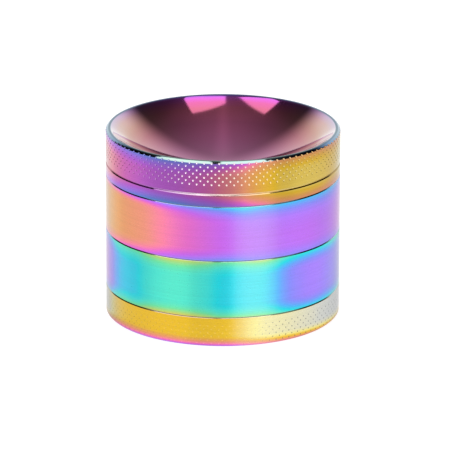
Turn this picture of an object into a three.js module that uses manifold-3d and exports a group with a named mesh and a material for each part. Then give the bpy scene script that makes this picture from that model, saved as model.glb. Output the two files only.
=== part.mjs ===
// A four-part hand grinder with a concave lid: lid, toothed chamber, screen chamber and base cup, stacked on
// one axis. Magnets and a nylon glide ring hold the lid, which lifts off and spins. Right-hand threads join the
// three lower parts. Millimetres, +Z up, origin at the centre of the underside.

import * as THREE from "three";
import { mergeVertices } from "three/addons/utils/BufferGeometryUtils.js";
import Module from "manifold-3d";

const wasm = await Module();
wasm.setup();

// ---------------------------------------------------------------- driving dimensions

const BODY_RADIUS = 31.5; // all four parts share one outside diameter, 63 mm
const SEGMENTS = 36; // facets round every turned surface
const SLIVER = 0.003; // surface detail smaller than this is smoothed away
const SEAM_GAP = 0.3; // daylight between two stacked parts
const EDGE = 0.25; // chamfer on each part's outer edges

// Heights of the seams, at the middle of their gap, and of the rim.
const BASE_SEAM = 8.1;
const SCREEN_SEAM = 23.85;
const LID_SEAM = 38.9;
const RIM_TOP = 51.45;

// Base cup
const FOOT_CHAMFER = 0.6;
const FOOT_RECESS_RADIUS = 22;
const FOOT_RECESS_DEPTH = 0.4;
const CUP_FLOOR = 1.6;
const CUP_RADIUS = 27.6;
const CUP_FILLET = 1.2;

// Threads: the spigot's ridge points outward and the socket's inward, half a pitch apart.
const PITCH = 1.5;
const SPIGOT_RADIUS = 28.6; // root of the spigot's thread
const SOCKET_RADIUS = 29.55; // root of the socket's thread
const RIDGE_HEIGHT = 0.7;
const RIDGE_ROOT_HALF = 0.42;
const RIDGE_CREST_HALF = 0.2;
const RIDGE_BURIED = 0.25; // how far a ridge reaches into its wall
const RIDGE_TURNS = 2.2;
const SPIGOT_LENGTH = 5; // below its shoulder
const SPIGOT_BORE = 26.9;
const SOCKET_DEPTH = 5.05;
const SOCKET_LEAD_IN = 0.35;
const SOCKET_RIDGE_RISE = 0.9; // from the socket's floor to the ridge's first centreline point
const SPIGOT_LEAD_TURNS = 0.4; // the spigot's ridge starts this much of a turn before the socket's

// Screen chamber
const SCREEN_BORE = 27;
const LEDGE_RADIUS = 25.4;
const LEDGE_SEAT = 9.2;
const LEDGE_TOP = 10.2;
const SNAP_GROOVE = { low: 7.3, high: 8.1, radius: 27.4 };

// Screen, its hoop and its snap ring
const HOOP = { outer: 26.65, inner: 25.6, low: 8.15, high: 9.05, slot: 26.25, slotLow: 8.4, slotHigh: 8.8 };
const MESH = { radius: 26.15, low: 8.5, high: 8.7 };
const SNAP_RING = { outer: 27.25, inner: 26.2, low: 7.4, high: 8.0, gapDegrees: 18 };

// Toothed chamber
const CHAMBER_BORE = 26.6;
const PLATE_TOP = 28.6;
const PLATE_BOTTOM = 26.1;
const COLLAR_RADIUS = 29;
const COLLAR_TOP = 43.4;
const HUB_RADIUS = 6.5;
const CHAMBER_HUB_TOP = 34.3;
const SIEVE_RINGS = [
  { radius: 12.7, count: 10, hole: 2.1, phase: 0.5 },
  { radius: 20.8, count: 16, hole: 2.3, phase: 0.5 },
];
const SIEVE_SIDES = 10;

// Lid
const RIM_CHAMFER = 0.7;
const RIM_LAND_RADIUS = 30.2;
const DISH_RADIUS = 29.8;
const DISH_EDGE = 51.2;
const DISH_BOTTOM = 41.4;
const DISH_STEPS = 7;
const GROOVE_HEIGHT = 42.2;
const GROOVE_DEPTH = 0.35;
const GROOVE_HALF = 0.3;
const SKIRT_BORE = 29.3;
const LID_PLUG_RADIUS = 26.2; // the part of the lid that drops inside the collar
const LID_UNDERSIDE = 39.2;
const LID_UNDERSIDE_EDGE = 41.3;
const COLLAR_SLOT_TOP = 44.3;
const GLIDE_SLOT = { inner: 27, outer: 28.7, top: 45 };
const GLIDE_RING = { inner: 27.15, outer: 28.55, low: 43.5, high: 44.9 };
const LID_HUB_BOTTOM = 34.9;

// Magnets, one pressed into each hub
const MAGNET_RADIUS = 4.95;
const MAGNET_POCKET_RADIUS = 5.1;
const MAGNET_THICKNESS = 2.5;
const MAGNET_INSET = 0.15;
const MAGNET_POCKET_DEPTH = 2.8;

// Teeth are rhombic prisms. The lid's rings run in the channels between the chamber's rings.
const TOOTH_TANGENTIAL = 2.3; // half length along the ring
const TOOTH_RADIAL = 1.55; // half length across it
const TOOTH_DRAFT = 0.8; // the tip's size over the root's
const TOOTH_BURIED = 0.6;
const TOOTH_CLEARANCE = 0.6; // from a tip to the surface it sweeps
const CHAMBER_TOOTH_RINGS = [
  { radius: 16.55, count: 10, radial: TOOTH_RADIAL, phase: 0 },
  { radius: 25.0, count: 16, radial: 1.85, phase: 0 },
];
const LID_TOOTH_RINGS = [
  { radius: 12.7, count: 8, radial: TOOTH_RADIAL, phase: 0.5 },
  { radius: 20.8, count: 12, radial: TOOTH_RADIAL, phase: 0.5 },
];

// ---------------------------------------------------------------- solids

// A closed geometry as a manifold-3d solid.
function solidOf(geometry) {
  const plain = geometry.clone();
  plain.deleteAttribute("normal");
  plain.deleteAttribute("uv");
  const merged = mergeVertices(plain, 1e-4);
  return new wasm.Manifold(
    new wasm.Mesh({
      numProp: 3,
      vertProperties: new Float32Array(merged.attributes.position.array),
      triVerts: new Uint32Array(merged.index.array),
    }),
  );
}

// A manifold-3d solid as a geometry with flat faces, without the slivers that joins leave.
function geometryOf(solid) {
  const mesh = solid.simplify(SLIVER).getMesh();
  const geometry = new THREE.BufferGeometry();
  geometry.setAttribute("position", new THREE.BufferAttribute(new Float32Array(mesh.vertProperties), 3));
  geometry.setIndex(new THREE.BufferAttribute(new Uint32Array(mesh.triVerts), 1));
  const faceted = geometry.toNonIndexed();
  faceted.computeVertexNormals();
  return faceted;
}

// A turned solid from its outline: [radius, height] pairs, anticlockwise with the axis on the left. An outline
// that doesn't touch the axis closes on itself.
function turned(outline, segments = SEGMENTS) {
  const closed = outline[0][0] === 0 ? outline : [...outline, outline[0]];
  const points = closed.map(([radius, height]) => new THREE.Vector2(radius, height));
  return solidOf(new THREE.LatheGeometry(points, segments).rotateX(Math.PI / 2));
}

// A plain disc or pin on the axis.
function disc(radius, low, high, segments = SEGMENTS) {
  return turned([[0, low], [radius, low], [radius, high], [0, high]], segments);
}

// Points of a circular arc in the outline's plane, both ends included.
function arc(centreRadius, centreHeight, size, from, to, steps) {
  return Array.from({ length: steps + 1 }, (_, i) => {
    const angle = from + ((to - from) * i) / steps;
    return [centreRadius + size * Math.cos(angle), centreHeight + size * Math.sin(angle)];
  });
}

// One helical ridge of a right-hand thread. It starts startTurn turns round from +X, and its centreline is at
// heightAtZero where it passes turn 0. side is 1 for a ridge that points outward and -1 for inward.
function ridge({ root, side, heightAtZero, startTurn }) {
  const slope = (RIDGE_ROOT_HALF - RIDGE_CREST_HALF) / RIDGE_HEIGHT;
  const inner = root - side * RIDGE_BURIED;
  const crest = root + side * RIDGE_HEIGHT;
  const innerHalf = RIDGE_ROOT_HALF + slope * RIDGE_BURIED;
  const section = [
    [inner, -innerHalf],
    [crest, -RIDGE_CREST_HALF],
    [crest, RIDGE_CREST_HALF],
    [inner, innerHalf],
  ];
  const corners = section.length;
  const steps = Math.round(RIDGE_TURNS * SEGMENTS);
  const positions = [];
  for (let step = 0; step <= steps; step++) {
    const turn = startTurn + (step + 0.5) / SEGMENTS; // half a facet round, so its corners miss the wall's edges
    const angle = turn * 2 * Math.PI;
    for (const [radius, height] of section) {
      positions.push(radius * Math.cos(angle), radius * Math.sin(angle), heightAtZero + turn * PITCH + height);
    }
  }
  const faces = [];
  for (let step = 0; step < steps; step++) {
    for (let corner = 0; corner < corners; corner++) {
      const a = step * corners + corner;
      const b = step * corners + ((corner + 1) % corners);
      faces.push(a, a + corners, b, b, a + corners, b + corners);
    }
  }
  const last = steps * corners;
  for (let corner = 1; corner < corners - 1; corner++) {
    faces.push(0, corner, corner + 1);
    faces.push(last, last + corner + 1, last + corner);
  }
  if (side < 0) faces.reverse();
  const geometry = new THREE.BufferGeometry();
  geometry.setAttribute("position", new THREE.Float32BufferAttribute(positions, 3));
  geometry.setIndex(faces);
  return solidOf(geometry);
}

// The outward ridge on a spigot and the inward ridge in the socket that it screws into.
function spigotRidge(seam) {
  return ridge({
    root: SPIGOT_RADIUS,
    side: 1,
    heightAtZero: socketRidgeHeight(seam) + PITCH / 2,
    startTurn: -SPIGOT_LEAD_TURNS,
  });
}

function socketRidge(seam) {
  return ridge({ root: SOCKET_RADIUS, side: -1, heightAtZero: socketRidgeHeight(seam), startTurn: 0 });
}

function socketRidgeHeight(seam) {
  return seam - SEAM_GAP / 2 - SOCKET_DEPTH + SOCKET_RIDGE_RISE;
}

// A ring of rhombic teeth from root height to tip height.
function toothRing({ radius, count, radial, phase }, root, tip) {
  const size = TOOTH_TANGENTIAL;
  const depth = Math.abs(tip - root);
  const teeth = [];
  for (let i = 0; i < count; i++) {
    // A four-sided frustum, its corners on the ring and across it.
    const geometry = new THREE.CylinderGeometry(size * TOOTH_DRAFT, size, depth, 4);
    geometry.rotateX(tip > root ? Math.PI / 2 : -Math.PI / 2);
    geometry.scale(radial / size, 1, 1);
    geometry.translate(radius, 0, (root + tip) / 2);
    geometry.rotateZ(((i + phase) / count) * 2 * Math.PI);
    teeth.push(solidOf(geometry));
  }
  return teeth;
}

function sieveHoles({ radius, count, hole, phase }) {
  const holes = [];
  for (let i = 0; i < count; i++) {
    const geometry = new THREE.CylinderGeometry(hole, hole, 2 * (PLATE_TOP - PLATE_BOTTOM), SIEVE_SIDES);
    geometry.rotateX(Math.PI / 2);
    geometry.translate(radius, 0, (PLATE_TOP + PLATE_BOTTOM) / 2);
    geometry.rotateZ(((i + phase) / count) * 2 * Math.PI);
    holes.push(solidOf(geometry));
  }
  return holes;
}

const join = (first, ...rest) => rest.reduce((made, solid) => made.add(solid), first);
const cut = (first, ...rest) => rest.reduce((made, solid) => made.subtract(solid), first);

// ---------------------------------------------------------------- base cup

function baseCup() {
  const top = BASE_SEAM - SEAM_GAP / 2;
  const socketFloor = top - SOCKET_DEPTH;
  const filletCentre = CUP_FLOOR + CUP_FILLET;
  const cup = turned([
    [0, FOOT_RECESS_DEPTH],
    [FOOT_RECESS_RADIUS, FOOT_RECESS_DEPTH],
    [FOOT_RECESS_RADIUS + FOOT_RECESS_DEPTH, 0],
    [BODY_RADIUS - FOOT_CHAMFER, 0],
    [BODY_RADIUS, FOOT_CHAMFER],
    [BODY_RADIUS, top - EDGE],
    [BODY_RADIUS - EDGE, top],
    [SOCKET_RADIUS + SOCKET_LEAD_IN, top],
    [SOCKET_RADIUS, top - SOCKET_LEAD_IN],
    [SOCKET_RADIUS, socketFloor],
    [CUP_RADIUS, socketFloor],
    ...arc(CUP_RADIUS - CUP_FILLET, filletCentre, CUP_FILLET, 0, -Math.PI / 2, 2),
    [0, CUP_FLOOR],
  ]);
  return join(cup, socketRidge(BASE_SEAM));
}

// ---------------------------------------------------------------- screen chamber and its screen

function screenChamber() {
  const shoulder = BASE_SEAM + SEAM_GAP / 2;
  const spigotEnd = shoulder - SPIGOT_LENGTH;
  const top = SCREEN_SEAM - SEAM_GAP / 2;
  const wall = turned([
    [SPIGOT_BORE, spigotEnd],
    [SPIGOT_RADIUS - EDGE, spigotEnd],
    [SPIGOT_RADIUS, spigotEnd + EDGE],
    [SPIGOT_RADIUS, shoulder],
    [BODY_RADIUS - EDGE, shoulder],
    [BODY_RADIUS, shoulder + EDGE],
    [BODY_RADIUS, top - EDGE],
    [BODY_RADIUS - EDGE, top],
    [SOCKET_RADIUS + SOCKET_LEAD_IN, top],
    [SOCKET_RADIUS, top - SOCKET_LEAD_IN],
    [SOCKET_RADIUS, top - SOCKET_DEPTH],
    [SCREEN_BORE, top - SOCKET_DEPTH],
    [SCREEN_BORE, LEDGE_TOP + (SCREEN_BORE - LEDGE_RADIUS)],
    [LEDGE_RADIUS, LEDGE_TOP],
    [LEDGE_RADIUS, LEDGE_SEAT],
    [SPIGOT_BORE, LEDGE_SEAT],
    [SPIGOT_BORE, SNAP_GROOVE.high],
    [SNAP_GROOVE.radius, SNAP_GROOVE.high],
    [SNAP_GROOVE.radius, SNAP_GROOVE.low],
    [SPIGOT_BORE, SNAP_GROOVE.low],
  ]);
  return join(wall, spigotRidge(BASE_SEAM), socketRidge(SCREEN_SEAM));
}

function screenHoop() {
  return turned([
    [HOOP.inner, HOOP.low],
    [HOOP.outer, HOOP.low],
    [HOOP.outer, HOOP.high],
    [HOOP.inner, HOOP.high],
    [HOOP.inner, HOOP.slotHigh],
    [HOOP.slot, HOOP.slotHigh],
    [HOOP.slot, HOOP.slotLow],
    [HOOP.inner, HOOP.slotLow],
  ]);
}

function meshScreen() {
  return disc(MESH.radius, MESH.low, MESH.high);
}

// A flat spring ring, open over a short gap at +X so that it can be squeezed into its groove.
function snapRing() {
  const half = THREE.MathUtils.degToRad(SNAP_RING.gapDegrees / 2);
  const outline = new THREE.Shape();
  outline.absarc(0, 0, SNAP_RING.outer, half, 2 * Math.PI - half, false);
  outline.absarc(0, 0, SNAP_RING.inner, 2 * Math.PI - half, half, true);
  const geometry = new THREE.ExtrudeGeometry(outline, {
    depth: SNAP_RING.high - SNAP_RING.low,
    bevelEnabled: false,
    curveSegments: SEGMENTS - 2,
  });
  return solidOf(geometry.translate(0, 0, SNAP_RING.low));
}

// ---------------------------------------------------------------- toothed chamber

function toothChamber() {
  const shoulder = SCREEN_SEAM + SEAM_GAP / 2;
  const spigotEnd = shoulder - SPIGOT_LENGTH;
  const top = LID_SEAM - SEAM_GAP / 2;
  const body = turned([
    [0, PLATE_BOTTOM],
    [CHAMBER_BORE, PLATE_BOTTOM],
    [CHAMBER_BORE, spigotEnd],
    [SPIGOT_RADIUS - EDGE, spigotEnd],
    [SPIGOT_RADIUS, spigotEnd + EDGE],
    [SPIGOT_RADIUS, shoulder],
    [BODY_RADIUS - EDGE, shoulder],
    [BODY_RADIUS, shoulder + EDGE],
    [BODY_RADIUS, top - EDGE],
    [BODY_RADIUS - EDGE, top],
    [COLLAR_RADIUS, top],
    [COLLAR_RADIUS, COLLAR_TOP - EDGE],
    [COLLAR_RADIUS - EDGE, COLLAR_TOP],
    [CHAMBER_BORE + EDGE, COLLAR_TOP],
    [CHAMBER_BORE, COLLAR_TOP - EDGE],
    [CHAMBER_BORE, PLATE_TOP],
    [HUB_RADIUS, PLATE_TOP],
    [HUB_RADIUS, CHAMBER_HUB_TOP],
    [MAGNET_POCKET_RADIUS, CHAMBER_HUB_TOP],
    [MAGNET_POCKET_RADIUS, CHAMBER_HUB_TOP - MAGNET_POCKET_DEPTH],
    [0, CHAMBER_HUB_TOP - MAGNET_POCKET_DEPTH],
  ]);
  const tip = LID_UNDERSIDE - TOOTH_CLEARANCE;
  const teeth = CHAMBER_TOOTH_RINGS.flatMap((ring) => toothRing(ring, PLATE_TOP - TOOTH_BURIED, tip));
  const holes = SIEVE_RINGS.flatMap(sieveHoles);
  return cut(join(body, ...teeth, spigotRidge(SCREEN_SEAM)), ...holes);
}

function chamberMagnet() {
  const top = CHAMBER_HUB_TOP - MAGNET_INSET;
  return disc(MAGNET_RADIUS, top - MAGNET_THICKNESS, top);
}

// ---------------------------------------------------------------- lid

// The dish is part of a sphere through its edge and its lowest point.
function dishOutline() {
  const depth = DISH_EDGE - DISH_BOTTOM;
  const sphere = (DISH_RADIUS ** 2 + depth ** 2) / (2 * depth);
  const half = Math.asin(DISH_RADIUS / sphere);
  return arc(0, DISH_BOTTOM + sphere, sphere, half - Math.PI / 2, -Math.PI / 2, DISH_STEPS).slice(0, -1);
}

function lid() {
  const bottom = LID_SEAM + SEAM_GAP / 2;
  const shell = turned([
    [0, LID_HUB_BOTTOM + MAGNET_POCKET_DEPTH],
    [MAGNET_POCKET_RADIUS, LID_HUB_BOTTOM + MAGNET_POCKET_DEPTH],
    [MAGNET_POCKET_RADIUS, LID_HUB_BOTTOM],
    [HUB_RADIUS, LID_HUB_BOTTOM],
    [HUB_RADIUS, LID_UNDERSIDE],
    [LID_PLUG_RADIUS, LID_UNDERSIDE_EDGE],
    [LID_PLUG_RADIUS, COLLAR_SLOT_TOP],
    [GLIDE_SLOT.inner, COLLAR_SLOT_TOP],
    [GLIDE_SLOT.inner, GLIDE_SLOT.top],
    [GLIDE_SLOT.outer, GLIDE_SLOT.top],
    [GLIDE_SLOT.outer, COLLAR_SLOT_TOP],
    [SKIRT_BORE, COLLAR_SLOT_TOP],
    [SKIRT_BORE, bottom],
    [BODY_RADIUS - EDGE, bottom],
    [BODY_RADIUS, bottom + EDGE],
    [BODY_RADIUS, GROOVE_HEIGHT - GROOVE_HALF],
    [BODY_RADIUS - GROOVE_DEPTH, GROOVE_HEIGHT],
    [BODY_RADIUS, GROOVE_HEIGHT + GROOVE_HALF],
    [BODY_RADIUS, RIM_TOP - RIM_CHAMFER],
    [BODY_RADIUS - RIM_CHAMFER, RIM_TOP],
    [RIM_LAND_RADIUS, RIM_TOP],
    ...dishOutline(),
    [0, DISH_BOTTOM],
  ]);
  const tip = PLATE_TOP + TOOTH_CLEARANCE;
  const teeth = LID_TOOTH_RINGS.flatMap((ring) => toothRing(ring, undersideAt(ring.radius) + TOOTH_BURIED, tip));
  return join(shell, ...teeth);
}

// The height of the lid's coned underside at a radius.
function undersideAt(radius) {
  const share = (radius - HUB_RADIUS) / (LID_PLUG_RADIUS - HUB_RADIUS);
  return LID_UNDERSIDE + share * (LID_UNDERSIDE_EDGE - LID_UNDERSIDE);
}

function lidMagnet() {
  const low = LID_HUB_BOTTOM + MAGNET_INSET;
  return disc(MAGNET_RADIUS, low, low + MAGNET_THICKNESS);
}

function glideRing() {
  return turned([
    [GLIDE_RING.inner, GLIDE_RING.low],
    [GLIDE_RING.outer, GLIDE_RING.low],
    [GLIDE_RING.outer, GLIDE_RING.high],
    [GLIDE_RING.inner, GLIDE_RING.high],
  ]);
}

// ---------------------------------------------------------------- assembly

const metal = (color, roughness) => new THREE.MeshStandardMaterial({ color, roughness, metalness: 1 });
const LID_FINISH = metal(0xb566a8, 0.18);
const TOOTH_CHAMBER_FINISH = metal(0xc870f0, 0.28);
const SCREEN_CHAMBER_FINISH = metal(0x4cdcd8, 0.28);
const BASE_FINISH = metal(0xe8be44, 0.3);
const NICKEL = metal(0xc9c8c2, 0.2);
const STAINLESS = metal(0xb4b6b8, 0.35);
const NYLON = new THREE.MeshStandardMaterial({ color: 0xece9e0, roughness: 0.55, metalness: 0 });

const grinder = new THREE.Group();

function place(name, solid, material) {
  const mesh = new THREE.Mesh(geometryOf(solid), material);
  mesh.name = name;
  grinder.add(mesh);
}

place("base_cup", baseCup(), BASE_FINISH);
place("screen_chamber", screenChamber(), SCREEN_CHAMBER_FINISH);
place("screen_hoop", screenHoop(), STAINLESS);
place("mesh_screen", meshScreen(), STAINLESS);
place("screen_snap_ring", snapRing(), STAINLESS);
place("tooth_chamber", toothChamber(), TOOTH_CHAMBER_FINISH);
place("chamber_magnet", chamberMagnet(), NICKEL);
place("glide_ring", glideRing(), NYLON);
place("lid", lid(), LID_FINISH);
place("lid_magnet", lidMagnet(), NICKEL);

export default grinder;
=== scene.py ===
"""Looks for the four-part hand grinder: fine turned, threaded and knurled meshes in place of the
faceted CAD solids, under an iridescent interference coating, on a pale studio floor. Outlines are in
millimetres, as the part is drawn, and every mesh is scaled to metres."""

import math

import bpy
import numpy as np
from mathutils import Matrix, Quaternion, Vector


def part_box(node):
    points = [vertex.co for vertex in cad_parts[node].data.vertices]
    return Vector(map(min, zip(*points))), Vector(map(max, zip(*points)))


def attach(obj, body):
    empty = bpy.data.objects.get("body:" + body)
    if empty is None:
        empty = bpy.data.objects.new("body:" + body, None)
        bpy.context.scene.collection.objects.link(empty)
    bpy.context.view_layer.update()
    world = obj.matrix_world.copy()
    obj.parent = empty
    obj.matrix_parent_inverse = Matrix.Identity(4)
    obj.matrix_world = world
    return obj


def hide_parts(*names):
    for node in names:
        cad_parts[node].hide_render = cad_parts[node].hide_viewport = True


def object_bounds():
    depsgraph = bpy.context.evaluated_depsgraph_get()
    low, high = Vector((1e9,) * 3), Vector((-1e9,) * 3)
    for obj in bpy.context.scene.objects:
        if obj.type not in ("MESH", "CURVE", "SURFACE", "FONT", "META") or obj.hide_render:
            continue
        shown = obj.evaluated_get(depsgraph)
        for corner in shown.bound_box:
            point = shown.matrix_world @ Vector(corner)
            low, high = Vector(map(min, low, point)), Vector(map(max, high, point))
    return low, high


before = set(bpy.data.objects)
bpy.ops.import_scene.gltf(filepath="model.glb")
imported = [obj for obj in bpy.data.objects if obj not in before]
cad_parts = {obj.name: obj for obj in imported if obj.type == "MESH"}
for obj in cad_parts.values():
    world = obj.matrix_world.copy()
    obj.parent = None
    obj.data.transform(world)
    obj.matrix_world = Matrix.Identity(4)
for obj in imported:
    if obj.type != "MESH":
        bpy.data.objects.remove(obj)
CAD_LOW, CAD_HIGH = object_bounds()

MM = 0.001
TAU = 2 * math.pi

# ---------------- dimensions, in mm


def low(node):
    """The height of a node's lowest point."""
    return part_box(node)[0].z / MM


def top(node):
    """The height of a node's highest point."""
    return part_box(node)[1].z / MM


def radius(node):
    """The radius of a round node."""
    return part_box(node)[1].y / MM


BODY_RADIUS = CAD_HIGH.x / MM
SEGMENTS = 200  # facets round the lid, chambers and base, two to each dimple of a knurl row
RING_SEGMENTS = 160  # round the small rings
MAGNET_SEGMENTS = 96
ROUNDING_STEPS = 4  # facets over a softened corner
SHARP_ANGLE = math.radians(28)  # edges that turn by more stay crisp

# Seams. The CAD solids stand 0.3 mm apart, and these fine ones close up to a hairline.
CAD_SEAM_GAP = 0.3
SEAM_GAP = 0.08
BASE_SEAM = top("base_cup") + CAD_SEAM_GAP / 2
SCREEN_SEAM = top("screen_chamber") + CAD_SEAM_GAP / 2
LID_SEAM = 38.9
RIM_TOP = top("lid")

# How far edges are broken and inner corners filled
EDGE = 0.16  # at the outer seams
FINE_EDGE = 0.12
SPIGOT_EDGE = 0.15
SKIRT_EDGE = 0.2
COLLAR_EDGE = 0.25
BOSS_EDGE = 0.3
PLATE_CORNER = 0.4

# Threads
PITCH = 1.5
SPIGOT_RADIUS = 28.6
SOCKET_RADIUS = 29.55
RIDGE_HEIGHT = 0.7
RIDGE_ROOT_HALF = 0.42
RIDGE_CREST_HALF = 0.2
RIDGE_TURNS = 2.2
RIDGE_RUNOUT = 0.07  # turns over which a ridge's end sinks into its wall
THREAD_STEP = 0.11  # height of one row of thread facets
SPIGOT_LENGTH = 5
SOCKET_DEPTH = 5.05
SOCKET_RIDGE_RISE = 0.9
SPIGOT_LEAD_TURNS = 0.4
SOCKET_LEAD_IN = 0.35
SPIGOT_LEAD_IN = 0.25

# Knurl: staggered rows of small round dimples
KNURL_ROWS = 7
BASE_KNURL_ROWS = 6
KNURL_ROW = 0.97  # height from one row to the next
DIMPLE_RADIUS = 0.33
DIMPLE_SIDES = 8
NUDGE = 0.01  # step along an outline, either way, that gives its direction
DIMPLE_RINGS = ((1.0, 0.0), (0.6, 0.64))  # share of the radius, and share of the depth there
LID_DIMPLE_DEPTH = 0.2
BASE_DIMPLE_DEPTH = 0.1
BASE_DIMPLE_SIZE = 0.7  # share of the lid's
BASE_KNURL_START = 0.441  # height of its first row over the foot's chamfer
BASE_CUTS_LOW, BASE_CUTS_HIGH = 0.4, 7.0  # its dimples lie between these
BASE_KNURL_END = 0.4  # height of the plain wall's start over its last row

# Base cup
FOOT_CHAMFER = 0.6
FOOT_EASE = 0.08  # how far the chamfer's two corners are eased
FOOT_RECESS_RADIUS = 22
FOOT_RECESS_DEPTH = 0.4
CUP_FLOOR = 1.6
CUP_RADIUS = 27.6
CUP_FILLET = 1.2
FILLET_STEPS = 6

# Screen chamber
SPIGOT_BORE = 26.9
SCREEN_BORE = 27
LEDGE_RADIUS = 25.4
LEDGE_SEAT = 9.2
LEDGE_TOP = 10.2
SNAP_GROOVE_LOW, SNAP_GROOVE_HIGH, SNAP_GROOVE_RADIUS = 7.3, 8.1, 27.4

# Toothed chamber
CHAMBER_BORE = 26.6
PLATE_TOP = 28.6
PLATE_BOTTOM = 26.1
COLLAR_RADIUS = 29
HUB_RADIUS = 6.5
CHAMBER_HUB_TOP = 34.3
SIEVE_RINGS = ((12.7, 10, 2.1), (20.8, 16, 2.3))  # ring radius, count, hole radius
SIEVE_HOLE_SIDES = 28
COUNTERSINK = 0.3
DRILL_OVERRUN = 0.5

# Lid
RIM_CHAMFER = 0.6
RIM_LAND_RADIUS = 30.4
DISH_RADIUS = 30.15
DISH_EDGE = 51.4
DISH_BOTTOM = 41.4
DISH_RINGS = 48
GROOVE_HEIGHT = 42.2
GROOVE_DEPTH = 0.24
GROOVE_UPPER = 0.45  # height of its upper slope
GROOVE_LOWER = 0.257
WALL_START = GROOVE_HEIGHT + 1.5  # where the knurled stretch begins
KNURL_END = 0.86  # share of the rim's chamfer that the knurled stretch takes in
LID_CUTS_LOW = 41.5  # the groove and the knurl lie above this
SKIRT_BORE = 29.3
LID_PLUG_RADIUS = 26.2
LID_UNDERSIDE = 39.2
LID_UNDERSIDE_EDGE = 41.3
COLLAR_SLOT_TOP = 44.3
GLIDE_SLOT_INNER, GLIDE_SLOT_OUTER, GLIDE_SLOT_TOP = 27, 28.7, 45

# Magnets' pockets
MAGNET_POCKET_RADIUS = 5.1
MAGNET_POCKET_DEPTH = 2.8
MAGNET_SUNK = 0.15  # how far the lid's magnet lies behind its pocket's mouth

# Teeth
TOOTH_TANGENTIAL = 2.3
TOOTH_DRAFT = 0.8
TOOTH_BURIED = 0.6
TOOTH_CLEARANCE = 0.6
TOOTH_BEVEL = 0.22
# Each ring's radius, its number of teeth, their half length across the ring, and the first tooth's turn
# in tooth pitches
CHAMBER_TOOTH_RINGS = ((16.55, 10, 1.55, 0), (25.0, 16, 1.85, 0))
LID_TOOTH_RINGS = ((12.7, 8, 1.55, 0.5), (20.8, 12, 1.55, 0.5))

# Screen cloth
WIRE_PITCH = 1.0
WIRE_RADIUS = 0.075
WIRE_WAVE = 0.045
WIRE_SIDES = 5
WIRE_STEPS = 4  # to each pitch
CLOTH_INSET = 0.05

# Small rings
GLIDE_INNER = 27.15
HOOP_INNER = 25.6
HOOP_SLOT_RADIUS, HOOP_SLOT_LOW, HOOP_SLOT_HIGH = 26.25, 8.4, 8.8
SNAP_INNER = 26.2
SNAP_GAP_DEGREES = 18
SNAP_STEPS = 180
GLIDE_EDGE, HOOP_EDGE, SNAP_EDGE, MAGNET_EDGE = 0.25, 0.08, 0.12, 0.2

# ---------------- mesh making


def softened(outline):
    """The outline with every corner that has a third value cut back by that much and rounded."""
    points = []
    for i, (r, z, *cut) in enumerate(outline):
        here = np.array((r, z), float)
        if not cut:
            points.append(here)
            continue
        before = np.array(outline[i - 1][:2], float) - here
        after = np.array(outline[(i + 1) % len(outline)][:2], float) - here
        start = here + before / np.linalg.norm(before) * cut[0]
        end = here + after / np.linalg.norm(after) * cut[0]
        for t in np.linspace(0, 1, ROUNDING_STEPS + 1):
            points.append((1 - t) ** 2 * start + 2 * t * (1 - t) * here + t**2 * end)
    return points


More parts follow.
